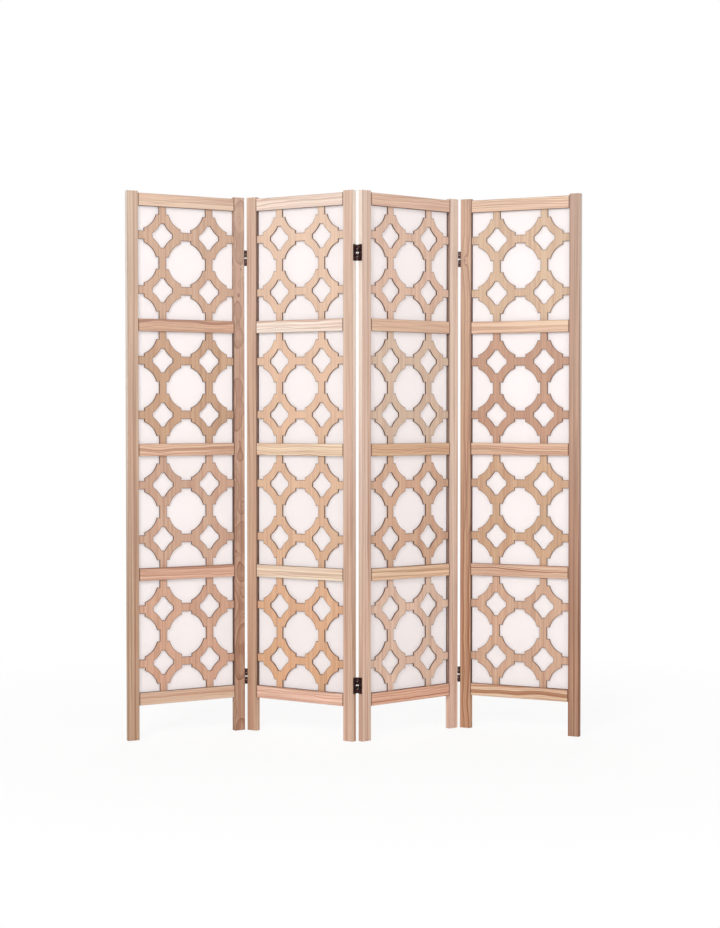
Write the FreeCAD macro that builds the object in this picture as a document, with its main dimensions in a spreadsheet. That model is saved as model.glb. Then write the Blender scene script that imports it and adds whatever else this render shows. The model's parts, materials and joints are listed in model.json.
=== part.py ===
import FreeCAD, Part
import os
import Sketcher
from FreeCAD import Placement, Rotation, Vector

# A folding room divider of four pine panels, hinged alternately on the front and on the back.
#
# Every panel is a frame of two stiles and five rails, joined by blind mortises and tenons. A fretted
# lattice sheet sits in grooves in each of its four bays, and one length of cloth lies behind them all,
# in a shallow rebate. A panel is modelled in its own frame: x across it from its left edge, y from
# its front face to the back, z up from the floor. Its Placement then stands it in the zigzag.

os.makedirs("parts", exist_ok=True)
doc = FreeCAD.newDocument("folding_room_divider")
sheet = doc.addObject("Spreadsheet::Sheet", "sizes")

# Driving sizes in millimetres, and the angles in degrees that the panels make with a straight line.
SIZES = {
    "panel_height": 1700,
    "panel_width": 403.25,
    "panel_1_turn": 30.74,
    "panel_2_turn": -32.73,
    "panel_3_turn": 40.12,
    "panel_4_turn": -25.77,
    # the frame: its stock, and where the rails lie
    "frame_depth": 18.3,
    "stile_width": 36,
    "rail_width": 38.5,
    "leg_height": 107.25,
    "stile_horn": 5.25,
    "arris": 0.8,
    # the joint of a rail and a stile
    "tenon_thickness": 6,
    "tenon_length": 22,
    "tenon_fit": 0.1,
    "glue_gap": 1,
    # the lattice sheet and its groove
    "lattice_recess": 7.3,
    "lattice_thickness": 4,
    "groove_depth": 5,
    "groove_fit": 0.1,
    "lattice_end_gap": 0.5,
    # the fret: openings on a grid, each a circle with a square step on each of its four sides
    "fret_pitch_across": 160,
    "fret_pitch_up": 169,
    "upright_bar": 24.5,
    "level_bar": 26,
    "opening_radius": 63,
    "opening_step_across": 58.7,
    "opening_step_up": 62.2,
    "side_step_height": 36.6,
    "end_step_width": 34.8,
    # the four-pointed eye in each crossing of the bars
    "eye_width": 68.4,
    "eye_height": 74.2,
    "eye_side_flat": 12.6,
    "eye_end_flat": 12,
    "eye_radius": 89.4,
    # the cloth and its rebate
    "cloth_thickness": 0.5,
    "cloth_lap": 30,
    "rebate_depth": 2,
    "rebate_width": 8,
    "cloth_margin": 1,
    # the butt hinges
    "joint_gap": 4,
    "hinge_height": 50,
    "upper_hinge_drop": 191.5,
    "lower_hinge_rise": 173,
    "axis_standoff": 3.6,
    "barrel_height": 43,
    "knuckle_radius": 2.8,
    "knuckle_gap": 0.9,
    "notch_height": 4.5,
    "notch_depth": 6.5,
    "leaf_thickness": 1.7,
    "leaf_width": 17.3,
    "leaf_setback": 0.5,
    "pin_radius": 1.2,
    "pin_fit": 0.05,
    "pin_end": 0.6,
    # how far a cut runs past the face that it opens
    "overrun": 1,
}
for row, (alias, value) in enumerate(SIZES.items(), 1):
    sheet.set(f"A{row}", alias)
    sheet.set(f"B{row}", str(value))
    sheet.setAlias(f"B{row}", alias)
doc.recompute()

PANELS = (1, 2, 3, 4)
RAILS = ("bottom_rail", "lower_rail", "centre_rail", "upper_rail", "top_rail")
BAYS = range(len(RAILS) - 1)

# Places that several pieces share, as expressions on the sheet.
BOTTOM_RAIL = "(sizes.leg_height + sizes.rail_width/2)"
RAILS_SPAN = "(sizes.panel_height - sizes.stile_horn - sizes.rail_width - sizes.leg_height)"
RAIL_PITCH = f"({RAILS_SPAN}/{len(RAILS) - 1})"
MIDDLE = "sizes.panel_width/2"
RAIL_DEPTH = "(sizes.frame_depth - sizes.rebate_depth)"
GROOVE_FRONT = "(sizes.lattice_recess - sizes.groove_fit)"
GROOVE_WIDTH = "(sizes.lattice_thickness + 2*sizes.groove_fit)"
TENON_FRONT = "(sizes.lattice_recess + sizes.lattice_thickness/2 - sizes.tenon_thickness/2)"
CLOTH_BOTTOM = f"({BOTTOM_RAIL} + sizes.rail_width/2 - sizes.cloth_lap)"
CLOTH_TOP = f"({BOTTOM_RAIL} + {RAILS_SPAN} - sizes.rail_width/2 + sizes.cloth_lap)"


def size(text):
    """The number that an expression on the sheet comes to."""
    return float(sheet.evalExpression(text))


def rail_height(step):
    """The height of the middle of a rail, counted from the bottom rail."""
    return f"({BOTTOM_RAIL} + {step}*{RAIL_PITCH})"


def new_body(label):
    body = doc.addObject("PartDesign::Body", label)
    body.Label = label
    return body


def new_sketch(body, role, name, offset="0"):
    """A sketch on a plane of the body's own origin, moved along the plane's normal by an expression."""
    sketch = body.newObject("Sketcher::SketchObject", name)
    plane = next(item for item in body.Origin.OriginFeatures if item.Role == role)
    sketch.AttachmentSupport = [(plane, "")]
    sketch.MapMode = "FlatFace"
    sketch.setExpression("AttachmentOffset.Base.z", offset)
    return sketch


def front_sketch(body, name, depth="0"):
    """An upright sketch, x across and z up, at a depth behind the panel's front face."""
    return new_sketch(body, "XZ_Plane", name, f"-({depth})")


def bulging_arc(start, end, radius):
    """The arc that bulges to the right of the way from start to end."""
    half_chord = (end - start) * 0.5
    outward = Vector(half_chord.y, -half_chord.x, 0).normalize()
    rise = radius - (radius**2 - half_chord.Length**2) ** 0.5
    return Part.Arc(start, start + half_chord + outward * rise, end)


def draw(sketch, corners, radius=None, arcs=()):
    """A closed outline through corners given as pairs of expressions. The sides named in arcs are round."""
    points = [Vector(size(across), size(up), 0) for across, up in corners]
    limits = []
    texts = []

    def limit(kind, where, text):
        limits.append(Sketcher.Constraint(kind, *where, size(text)))
        texts.append(text)

    ends = []
    for side, start in enumerate(points):
        end = points[(side + 1) % len(points)]
        first = 1
        if side in arcs:
            curve = sketch.addGeometry(bulging_arc(start, end, size(radius)))
            limit("Radius", (curve,), radius)
            drawn_from = sketch.Geometry[curve].StartPoint
            if drawn_from.distanceToPoint(start) > drawn_from.distanceToPoint(end):
                first = 2
        else:
            curve = sketch.addGeometry(Part.LineSegment(start, end))
        ends.append(((curve, first), (curve, 3 - first)))
        limit("DistanceX", (-1, 1, curve, first), corners[side][0])
        limit("DistanceY", (-1, 1, curve, first), corners[side][1])
    joined = [Sketcher.Constraint("Coincident", *ends[side - 1][1], *ends[side][0]) for side in range(len(ends))]
    sketch.addConstraint(limits + joined)
    for number, text in enumerate(texts):
        sketch.setExpression(f"Constraints[{number}]", text)


def draw_rectangle(sketch, left, bottom, right, top):
    draw(sketch, [(left, bottom), (right, bottom), (right, top), (left, top)])


def pad(body, sketch, length):
    """Thickens a sketch: an upright one towards the back, a level one upwards."""
    feature = body.newObject("PartDesign::Pad", f"{sketch.Name}_pad")
    feature.Profile = sketch
    feature.setExpression("Length", length)
    feature.Reversed = sketch.AttachmentSupport[0][0].Role == "XZ_Plane"
    return feature


def pocket(body, sketch, length=None):
    """Cuts an upright sketch away towards the back, as deep as length says or right through."""
    feature = body.newObject("PartDesign::Pocket", f"{sketch.Name}_pocket")
    feature.Profile = sketch
    if length is None:
        feature.Type = "ThroughAll"
    else:
        feature.setExpression("Length", length)
    return feature


def ease_edges(body, feature, edges):
    """Planes a narrow flat on the named edges of a feature."""
    chamfer = body.newObject("PartDesign::Chamfer", "eased")
    chamfer.Base = (feature, edges)
    chamfer.setExpression("Size", "sizes.arris")
    return chamfer


def edges_along(feature, direction, keep=lambda centre: True):
    """The names of a feature's straight edges that run along a direction, where keep allows."""
    feature.recompute(True)
    return [
        f"Edge{number}"
        for number, edge in enumerate(feature.Shape.Edges, 1)
        if abs(edge.tangentAt(edge.FirstParameter).dot(direction)) > 0.999 and keep(edge.CenterOfMass)
    ]


def stile(panel, side):
    """An upright, with a stopped groove for the lattices, five mortises and a rebate for the cloth."""
    body = new_body(f"panel_{panel}_{side}_stile")

    def inwards(distance):
        return distance if side == "left" else f"(sizes.panel_width - {distance})"

    section = new_sketch(body, "XY_Plane", "section")
    draw_rectangle(section, inwards("0"), "0", inwards("sizes.stile_width"), "sizes.frame_depth")
    blank = pad(body, section, "sizes.panel_height")
    ease_edges(body, blank, edges_along(blank, Vector(0, 0, 1)))

    mouth = inwards("(sizes.stile_width + sizes.overrun)")
    groove = front_sketch(body, "groove", GROOVE_FRONT)
    bed = inwards("(sizes.stile_width - sizes.groove_depth)")
    draw_rectangle(groove, bed, rail_height(0), mouth, rail_height(len(RAILS) - 1))
    pocket(body, groove, GROOVE_WIDTH)

    mortise = front_sketch(body, "mortise", f"{TENON_FRONT} - sizes.tenon_fit")
    end = inwards("(sizes.stile_width - sizes.tenon_length - sizes.glue_gap)")
    half = "(sizes.rail_width/2 - sizes.groove_depth + sizes.tenon_fit)"
    draw_rectangle(mortise, end, f"{rail_height(0)} - {half}", mouth, f"{rail_height(0)} + {half}")
    first = pocket(body, mortise, "sizes.tenon_thickness + 2*sizes.tenon_fit")
    row = body.newObject("PartDesign::LinearPattern", "mortises")
    row.Originals = [first]
    row.Direction = (mortise, ["V_Axis"])
    row.Occurrences = len(RAILS)
    row.setExpression("Length", RAILS_SPAN)
    body.Tip = row

    rebate = front_sketch(body, "rebate", RAIL_DEPTH)
    shoulder = inwards("(sizes.stile_width - sizes.rebate_width)")
    low = f"{CLOTH_BOTTOM} - sizes.cloth_margin"
    draw_rectangle(rebate, shoulder, low, mouth, f"{CLOTH_TOP} + sizes.cloth_margin")
    pocket(body, rebate)
    return body


def rail(panel, step):
    """A rail between the stiles, with a tenon at each end and a groove towards each bay beside it."""
    body = new_body(f"panel_{panel}_{RAILS[step]}")
    middle = rail_height(step)
    left = "sizes.stile_width"
    right = "(sizes.panel_width - sizes.stile_width)"
    low = f"({middle} - sizes.rail_width/2)"
    high = f"({middle} + sizes.rail_width/2)"

    face = front_sketch(body, "face")
    draw_rectangle(face, left, low, right, high)
    blank = pad(body, face, RAIL_DEPTH)
    front = edges_along(blank, Vector(1, 0, 0), lambda centre: centre.y < size(RAIL_DEPTH) / 2)
    ease_edges(body, blank, front)

    tenon = front_sketch(body, "tenon", TENON_FRONT)
    reach = "sizes.tenon_length"
    bed_low = f"({low} + sizes.groove_depth)"
    bed_high = f"({high} - sizes.groove_depth)"
    draw_rectangle(tenon, f"{left} - {reach}", bed_low, f"{right} + {reach}", bed_high)
    pad(body, tenon, "sizes.tenon_thickness")

    if step < len(RAILS) - 1:
        groove = front_sketch(body, "upper_groove", GROOVE_FRONT)
        draw_rectangle(groove, left, bed_high, right, f"{high} + sizes.overrun")
        pocket(body, groove, GROOVE_WIDTH)
    if step > 0:
        groove = front_sketch(body, "lower_groove", GROOVE_FRONT)
        draw_rectangle(groove, left, f"{low} - sizes.overrun", right, bed_low)
        pocket(body, groove, GROOVE_WIDTH)
    return body


def four_quarters(quarter, across, up):
    """The outline that a quarter of it, given anticlockwise from the side, makes round a centre."""
    outline = []
    for turn, (sign_across, sign_up) in enumerate((("+", "+"), ("-", "+"), ("-", "-"), ("+", "-"))):
        corners = [(f"{across} {sign_across} {x}", f"{up} {sign_up} {z}") for x, z in quarter]
        outline += corners if turn % 2 == 0 else corners[::-1]
    return outline


def repeat_cut(body, cut, count):
    """Repeats a cut of the fret on its grid, count times across and count times up."""
    grid = body.newObject("PartDesign::LinearPattern", f"{cut.Name}_grid")
    grid.Originals = [cut]
    grid.Direction = (cut.Profile[0], ["H_Axis"])
    grid.Occurrences = count
    grid.setExpression("Length", f"{count - 1}*sizes.fret_pitch_across")
    grid.Direction2 = (cut.Profile[0], ["V_Axis"])
    grid.Occurrences2 = count
    grid.setExpression("Length2", f"{count - 1}*sizes.fret_pitch_up")
    body.Tip = grid


def lattice(panel, bay):
    """A thin sheet with a fret of round openings and four-pointed eyes, centred in its bay.

    The openings lie on a grid three by three, so the outer ones run off the sheet's edges and
    leave the ends of the bars to go into the grooves. Each crossing of two bars holds an eye."""
    body = new_body(f"panel_{panel}_lattice_{bay + 1}")
    centre_up = f"({rail_height(bay)} + {RAIL_PITCH}/2)"
    tuck = "(sizes.groove_depth - sizes.lattice_end_gap)"
    half_across = f"({MIDDLE} - sizes.stile_width + {tuck})"
    half_up = f"(({RAIL_PITCH} - sizes.rail_width)/2 + {tuck})"

    blank = front_sketch(body, "blank", "sizes.lattice_recess")
    left, right = (f"{MIDDLE} {sign} {half_across}" for sign in "-+")
    low, high = (f"{centre_up} {sign} {half_up}" for sign in "-+")
    draw_rectangle(blank, left, low, right, high)
    pad(body, blank, "sizes.lattice_thickness")

    opening = front_sketch(body, "opening", "sizes.lattice_recess")
    quarter = [
        ("(sizes.fret_pitch_across - sizes.upright_bar)/2", "sizes.side_step_height/2"),
        ("sizes.opening_step_across", "sizes.side_step_height/2"),
        ("sizes.end_step_width/2", "sizes.opening_step_up"),
        ("sizes.end_step_width/2", "(sizes.fret_pitch_up - sizes.level_bar)/2"),
    ]
    corner = (f"{MIDDLE} - sizes.fret_pitch_across", f"{centre_up} - sizes.fret_pitch_up")
    draw(opening, four_quarters(quarter, *corner), "sizes.opening_radius", (1, 5, 9, 13))
    repeat_cut(body, pocket(body, opening), 3)

    eye = front_sketch(body, "eye", "sizes.lattice_recess")
    quarter = [
        ("sizes.eye_width/2", "sizes.eye_side_flat/2"),
        ("sizes.eye_end_flat/2", "sizes.eye_height/2"),
    ]
    corner = (f"{MIDDLE} - sizes.fret_pitch_across/2", f"{centre_up} - sizes.fret_pitch_up/2")
    # drawn clockwise, so that its slanting sides curve inwards
    clockwise = four_quarters(quarter, *corner)[::-1]
    draw(eye, clockwise, "sizes.eye_radius", (0, 2, 4, 6))
    repeat_cut(body, pocket(body, eye), 2)
    return body


def cloth(panel):
    """One length of cloth over the backs of the rails, its edges in the rebates of the stiles."""
    body = new_body(f"panel_{panel}_cloth")
    outline = front_sketch(body, "outline", RAIL_DEPTH)
    edge = "(sizes.stile_width - sizes.rebate_width + sizes.cloth_margin)"
    draw_rectangle(outline, edge, CLOTH_BOTTOM, f"sizes.panel_width - {edge}", CLOTH_TOP)
    pad(body, outline, "sizes.cloth_thickness")
    return body


# The hinges. The barrel is shorter than the leaves. It has four knuckles, two under a notch at the
# middle and two over it, and they belong to the two leaves by turns. A leaf is modelled round its own
# axis, at the middle of the hinge's height: the panel lies behind it, on the left of the axis for the
# leaf that holds the pin and on its right for the other.

KNUCKLE = "(sizes.barrel_height - sizes.notch_height - 2*sizes.knuckle_gap)/4"


def box(name, corner, length, width, height):
    item = doc.addObject("Part::Box", name)
    for axis, text in zip("xyz", corner):
        item.setExpression(f"Placement.Base.{axis}", text)
    for key, text in (("Length", length), ("Width", width), ("Height", height)):
        item.setExpression(key, text)
    return item


def cylinder(name, radius, base, height):
    item = doc.addObject("Part::Cylinder", name)
    item.setExpression("Radius", radius)
    item.setExpression("Height", height)
    item.setExpression("Placement.Base.z", base)
    return item


def fuse(name, pieces):
    item = doc.addObject("Part::MultiFuse", name)
    item.Shapes = pieces
    item.Refine = True
    return item


def knuckle_foot(number):
    """How high a knuckle's lower end lies, counted from 0 at the bottom."""
    pair_foot = "sizes.notch_height/2" if number > 1 else "-sizes.barrel_height/2"
    return f"({pair_foot} + {number % 2}*({KNUCKLE} + sizes.knuckle_gap))"


def hinge_leaf(label, holds_pin):
    """A notched plate with two knuckles: the lower one of each pair if it holds the pin, else the upper."""
    left = "-sizes.joint_gap/2" if holds_pin else "(sizes.joint_gap/2 - sizes.leaf_thickness)"
    start = "(sizes.axis_standoff + sizes.leaf_setback)"
    corner = (left, start, "-sizes.hinge_height/2")
    reach = "sizes.leaf_width - sizes.leaf_setback"
    pieces = [box(f"{label}_plate", corner, "sizes.leaf_thickness", reach, "sizes.hinge_height")]
    for number in (0, 2) if holds_pin else (1, 3):
        foot = knuckle_foot(number)
        pieces.append(cylinder(f"{label}_knuckle", "sizes.knuckle_radius", foot, KNUCKLE))
        pieces.append(box(f"{label}_web", (left, "0", foot), "sizes.leaf_thickness", start, KNUCKLE))
    bore_radius = "sizes.pin_radius + sizes.pin_fit"
    bore = cylinder(f"{label}_bore", bore_radius, "-sizes.hinge_height/2", "sizes.hinge_height")
    corner = (f"{left} - sizes.overrun", "0", "-sizes.notch_height/2")
    across = "sizes.leaf_thickness + 2*sizes.overrun"
    notch = box(f"{label}_notch", corner, across, "sizes.notch_depth", "sizes.notch_height")
    leaf = doc.addObject("Part::Cut", label)
    leaf.Base = fuse(f"{label}_blank", pieces)
    leaf.Tool = fuse(f"{label}_waste", [bore, notch])
    return leaf, "0"


def hinge_pin(label):
    """A plain pin, which stands a little out of both ends of the barrel."""
    foot = "(-sizes.barrel_height/2 - sizes.pin_end)"
    pin = cylinder(label, "sizes.pin_radius", foot, "sizes.barrel_height + 2*sizes.pin_end")
    return pin, foot


HINGE_HEIGHTS = {"upper": "sizes.panel_height - sizes.upper_hinge_drop", "lower": "sizes.lower_hinge_rise"}


def hinge_place(side, face):
    """Where a hinge's axis stands in a panel's frame, beside its left or right edge, at front or back."""
    across = -size("sizes.joint_gap/2")
    if side == "right":
        across = size("sizes.panel_width + sizes.joint_gap/2")
    depth = -size("sizes.axis_standoff")
    if face == "back":
        depth = size("sizes.frame_depth + sizes.axis_standoff")
    spin = Rotation(Vector(0, 0, 1), 0 if face == "front" else 180)
    return Placement(Vector(across, depth, 0), spin)


def group(label, members):
    """Separate solids of one kind that share a node."""
    item = doc.addObject("Part::Compound", label)
    item.Label = label
    item.Links = members
    return item


def hinge_pieces(label, make, side, face):
    """The upper and lower piece of one kind on a panel's edge, as one group.

    The function that makes a piece also gives how high its own zero lies above the hinge's middle."""
    members = []
    for height, middle_height in HINGE_HEIGHTS.items():
        piece, own_zero = make(f"{label}_{height}")
        piece.Placement = hinge_place(side, face)
        piece.setExpression("Placement.Base.z", f"{middle_height} + {own_zero}")
        members.append(piece)
    return group(label, members)


# Each joint: the panel on its left, the face that its barrels stand on, and the side that holds its pins.
JOINTS = ((1, "front", "left"), (2, "back", "right"), (3, "front", "left"))

nodes = {panel: [] for panel in PANELS}
for panel in PANELS:
    nodes[panel] += [stile(panel, "left"), stile(panel, "right")]
    nodes[panel] += [rail(panel, step) for step in range(len(RAILS))]
    nodes[panel].append(group(f"panel_{panel}_lattices", [lattice(panel, bay) for bay in BAYS]))
    nodes[panel].append(cloth(panel))
for left_panel, face, pin_side in JOINTS:
    for panel, side in ((left_panel, "right"), (left_panel + 1, "left")):
        holds_pin = (panel == left_panel) == (pin_side == "left")
        label = f"panel_{panel}_{side}_hinge_leaves"
        nodes[panel].append(hinge_pieces(label, lambda name: hinge_leaf(name, holds_pin), side, face))
        if holds_pin:
            label = f"hinge_pins_{left_panel}_{left_panel + 1}"
            nodes[panel].append(hinge_pieces(label, hinge_pin, side, face))


def standing(panel, own_point, place):
    """The Placement that turns a panel as it stands, with a point of its own at a place on the floor."""
    spin = Rotation(Vector(0, 0, 1), size(f"sizes.panel_{panel}_turn"))
    return Placement(place - spin.multVec(own_point), spin)


# The zigzag is worked out from hinge to hinge, starting at the middle one.
stands = {
    2: standing(2, hinge_place("right", "back").Base, Vector()),
    3: standing(3, hinge_place("left", "back").Base, Vector()),
}
left_joint = stands[2].multVec(hinge_place("left", "front").Base)
stands[1] = standing(1, hinge_place("right", "front").Base, left_joint)
right_joint = stands[3].multVec(hinge_place("right", "front").Base)
stands[4] = standing(4, hinge_place("left", "front").Base, right_joint)

# The origin is on the floor, under the middle of the space that the zigzag takes up.
feet = [
    stand.multVec(Vector(across, depth, 0))
    for stand in stands.values()
    for across in (0, size("sizes.panel_width"))
    for depth in (0, size("sizes.frame_depth"))
]
middle = Vector(
    (min(foot.x for foot in feet) + max(foot.x for foot in feet)) / 2,
    (min(foot.y for foot in feet) + max(foot.y for foot in feet)) / 2,
    0,
)
for panel, pieces in nodes.items():
    stands[panel] = Placement(-middle, Rotation()) * stands[panel]
    for piece in pieces:
        piece.Placement = stands[panel]
doc.recompute()

# Nothing is written unless every object is sound and every cut has taken something away.
for item in doc.Objects:
    if {"Invalid", "Error"} & set(item.State):
        raise RuntimeError(f"{item.Label} failed: {item.State}")
    if item.TypeId in ("PartDesign::Pocket", "PartDesign::Chamfer", "PartDesign::LinearPattern"):
        if item.Shape.Volume >= item.BaseFeature.Shape.Volume:
            raise RuntimeError(f"{item.Label} cuts nothing")
for pieces in nodes.values():
    for piece in pieces:
        if piece.Shape.isNull() or not piece.Shape.isValid():
            raise RuntimeError(f"{piece.Label} has no sound shape")
        piece.Shape.exportStep(f"parts/{piece.Label}.step")
        print(f"{piece.Label}: {len(piece.Shape.Solids)} solids, {piece.Shape.Volume / 1000:.1f} cm3")
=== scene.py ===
# %% [markdown]
# # A folding room divider
# Four panels stand in a zigzag. Each is a pine frame with four fretted lattice sheets, and white cloth
# is stretched behind them. The frames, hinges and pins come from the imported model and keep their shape.
# This lesson gives them their finish, and makes the lattices, the cloth, the screws, the staples and the
# buttons on the pins as surfaces.

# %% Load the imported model
import json
import math

import bpy
import numpy as np
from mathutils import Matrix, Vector
from mathutils.geometry import tessellate_polygon


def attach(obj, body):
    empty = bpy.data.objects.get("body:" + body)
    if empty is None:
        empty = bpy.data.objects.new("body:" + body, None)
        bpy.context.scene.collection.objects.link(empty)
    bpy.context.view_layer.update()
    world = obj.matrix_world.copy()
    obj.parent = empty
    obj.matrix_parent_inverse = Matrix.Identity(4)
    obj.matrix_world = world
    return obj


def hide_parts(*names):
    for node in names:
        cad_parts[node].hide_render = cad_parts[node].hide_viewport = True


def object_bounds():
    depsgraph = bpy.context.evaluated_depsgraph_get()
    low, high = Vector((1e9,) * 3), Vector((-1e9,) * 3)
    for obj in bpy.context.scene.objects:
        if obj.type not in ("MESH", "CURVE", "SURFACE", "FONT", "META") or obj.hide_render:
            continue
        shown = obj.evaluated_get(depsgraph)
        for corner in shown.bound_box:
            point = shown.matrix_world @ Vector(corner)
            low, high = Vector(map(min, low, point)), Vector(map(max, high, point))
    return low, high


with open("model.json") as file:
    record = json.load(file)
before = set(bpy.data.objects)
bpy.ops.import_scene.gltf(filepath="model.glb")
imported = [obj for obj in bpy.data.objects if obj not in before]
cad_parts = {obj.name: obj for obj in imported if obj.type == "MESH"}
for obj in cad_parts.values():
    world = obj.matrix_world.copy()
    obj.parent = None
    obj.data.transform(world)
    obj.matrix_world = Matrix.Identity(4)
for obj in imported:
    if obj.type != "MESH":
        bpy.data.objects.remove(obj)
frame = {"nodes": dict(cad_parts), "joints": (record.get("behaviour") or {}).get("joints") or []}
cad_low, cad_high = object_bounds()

PANELS = (1, 2, 3, 4)
RAILS = ("bottom_rail", "lower_rail", "centre_rail", "upper_rail", "top_rail")

# %% [markdown]
# Every panel is turned by its own angle, so its pieces are easier to make in a frame of its own: x
# across from the panel's middle, y from mid-thickness to the back, z up. The line between the middles
# of its two stiles gives that frame, so nothing here repeats an angle from the construction.

# %% Each panel's own frame
MM = 0.001


def mesh_points(node):
    """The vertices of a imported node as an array."""
    mesh = frame["nodes"][node].data
    points = np.empty(len(mesh.vertices) * 3, np.float32)
    mesh.vertices.foreach_get("co", points)
    return points.reshape(-1, 3).astype(float)


def box_middle(node):
    """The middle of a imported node's box: half the sum of its lowest and highest corner."""
    points = mesh_points(node)
    return (points.min(axis=0) + points.max(axis=0)) / 2


def panel_frame(panel):
    """The angle of the line between the stiles' middles, and the floor point under its middle."""
    left = box_middle(f"panel_{panel}_left_stile")
    right = box_middle(f"panel_{panel}_right_stile")
    way = right - left
    middle = (left + right) / 2
    return math.atan2(way[1], way[0]), np.array([middle[0], middle[1], 0.0])


PLACES = {panel: panel_frame(panel) for panel in PANELS}


def turning(angle):
    """The matrix that turns points about the upright axis: columns are the turned x, y and z."""
    c, s = math.cos(angle), math.sin(angle)
    return np.array([[c, -s, 0.0], [s, c, 0.0], [0.0, 0.0, 1.0]])


def to_room(panel, points):
    """Points of a panel's own frame, turned by its angle and moved to its place."""
    angle, middle = PLACES[panel]
    return points @ turning(angle).T + middle


def own_box(panel, node):
    """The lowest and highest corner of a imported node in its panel's own frame."""
    angle, middle = PLACES[panel]
    own = (mesh_points(node) - middle) @ turning(angle)
    return own.min(axis=0), own.max(axis=0)


for panel in PANELS:
    print("panel", panel, "turned", round(math.degrees(PLACES[panel][0]), 2), "degrees")

# %% [markdown]
# The photograph was taken from straight in front with a long lens, from a little above the screen's
# middle. The camera looks down by a degree and a half, so the uprights draw together slightly
# towards the floor and the middle rails sit a touch low in the picture.

# %% Camera
IMAGE_HEIGHT = 928
FOCAL_PIXELS = 1836.0
SENSOR = 36.0
CAMERA_SIDE_STEP = 8.5 * MM
CAMERA_DISTANCE = 5663.9 * MM
CAMERA_HEIGHT = 1015.3 * MM
CAMERA_DIPS = 0.02771

middle_joint = next(joint for joint in frame["joints"] if joint["name"] == "fold_2_3")
lens = bpy.data.cameras.new("camera")
lens.sensor_width = SENSOR
lens.lens = FOCAL_PIXELS * SENSOR / IMAGE_HEIGHT
camera = bpy.data.objects.new("camera", lens)
camera.location = (
    middle_joint["pos_m"][0] + CAMERA_SIDE_STEP,
    middle_joint["pos_m"][1] - CAMERA_DISTANCE,
    CAMERA_HEIGHT,
)
camera.rotation_euler = (math.pi / 2 - CAMERA_DIPS, 0, 0)
bpy.context.scene.collection.objects.link(camera)
bpy.context.scene.camera = camera
print("lens", round(lens.lens, 1), "mm")

# %% [markdown]
# A material is a small graph of nodes, and these helpers keep the graphs short. One adds a node and fills
# its sockets, and two others give the output of a sum and of a mix of colours. A colour is written as a
# screen shows it and turned into the light that it stands for.

# %% Helpers for materials


def new_material(name):
    """A material with an empty graph, and that graph."""
    material = bpy.data.materials.new(name)
    material.use_nodes = True
    material.node_tree.nodes.clear()
    return material, material.node_tree


def add(tree, kind, sockets=None, **settings):
    """A node with its settings, its sockets linked to other outputs or set to plain values."""
    node = tree.nodes.new(kind)
    for key, value in settings.items():
        setattr(node, key, value)
    for key, value in (sockets or {}).items():
        if isinstance(value, bpy.types.NodeSocket):
            tree.links.new(value, node.inputs[key])
        else:
            node.inputs[key].default_value = value
    return node


def sum_of(tree, operation, first, second=0.0, third=0.0):
    """The output of one Math node."""
    sockets = {0: first, 1: second, 2: third}
    return add(tree, "ShaderNodeMath", sockets, operation=operation).outputs[0]


def blend_colours(tree, share, first, second, kind="MIX"):
    """The output of a colour mix."""
    node = add(tree, "ShaderNodeMix", data_type="RGBA", blend_type=kind)
    for index, value in ((0, share), (6, first), (7, second)):
        if isinstance(value, bpy.types.NodeSocket):
            tree.links.new(value, node.inputs[index])
        else:
            node.inputs[index].default_value = value
    return node.outputs[2]


def linear(red, green, blue):
    """A colour written as screen values from 0 to 255, as the light that it stands for."""
    shares = np.array([red, green, blue]) / 255
    light = np.where(shares <= 0.04045, shares / 12.92, ((shares + 0.055) / 1.055) ** 2.4)
    return (*light.tolist(), 1.0)


print("helpers ready")

# %% [markdown]
# Pine is made in layers, and each has to know where it is on the board: how far along the grain, how far
# across the face and how deep. A Mapping node turns the room's coordinates into the board's own.

# %% Where a point is on a board
EARLY_WOOD = linear(238, 208, 184)
ROSY_WOOD = linear(221, 177, 155)
LATE_WOOD = linear(154, 96, 66)
BROWN_STREAK = linear(176, 128, 100)
FIBRE_SHADE = linear(190, 150, 124)
# Painted light: the pale colour mixed in towards the top and on the stiles' outer sides.
PAINTED_LIGHT_WOOD = linear(243, 230, 218)
# Painted shade: the brown of the arrises and the seams.
EDGE_SHADE_BROWN = linear(108, 72, 54)
# Painted shade: the dark brown of the recess walls.
STAINED = linear(66, 34, 26)
# The burnt brown of the cuts, darker than a burn alone as painted shade inside them.
SCORCH_AND_SHADE = linear(62, 36, 24)


def board_place(tree, centre, angle, lengthways):
    """Metres along the board, across its face and into its thickness from its middle, and up from the floor."""
    spot = add(tree, "ShaderNodeTexCoord").outputs["Object"]
    own = add(tree, "ShaderNodeMapping", {"Vector": spot, "Location": tuple(centre), "Rotation": (0, 0, angle)},
              vector_type="TEXTURE").outputs[0]
    split = add(tree, "ShaderNodeSeparateXYZ", {0: own})
    first, second = ("Z", "X") if lengthways == "up" else ("X", "Z")
    up = add(tree, "ShaderNodeSeparateXYZ", {0: spot}).outputs["Z"]
    return split.outputs[first], split.outputs[second], split.outputs["Y"], up


def share_between(tree, value, low, high, strength=1.0):
    """A share that goes evenly from 0 at the low value to the strength at the high one."""
    return add(tree, "ShaderNodeMapRange", {0: value, 1: low, 2: high, 4: strength}).outputs[0]


def stretched_noise(tree, place, rates, start, detail):
    """Noise whose grain is as long in each direction as one over that direction's rate."""
    along, across, depth = place[:3]
    point = add(tree, "ShaderNodeCombineXYZ", {0: sum_of(tree, "MULTIPLY", across, rates[1]),
                                               1: sum_of(tree, "MULTIPLY_ADD", depth, rates[2], start),
                                               2: sum_of(tree, "MULTIPLY_ADD", along, rates[0], start)}).outputs[0]
    return add(tree, "ShaderNodeTexNoise", {"Vector": point, "Scale": 1.0, "Detail": detail}).outputs


print("colours and places ready")

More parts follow.
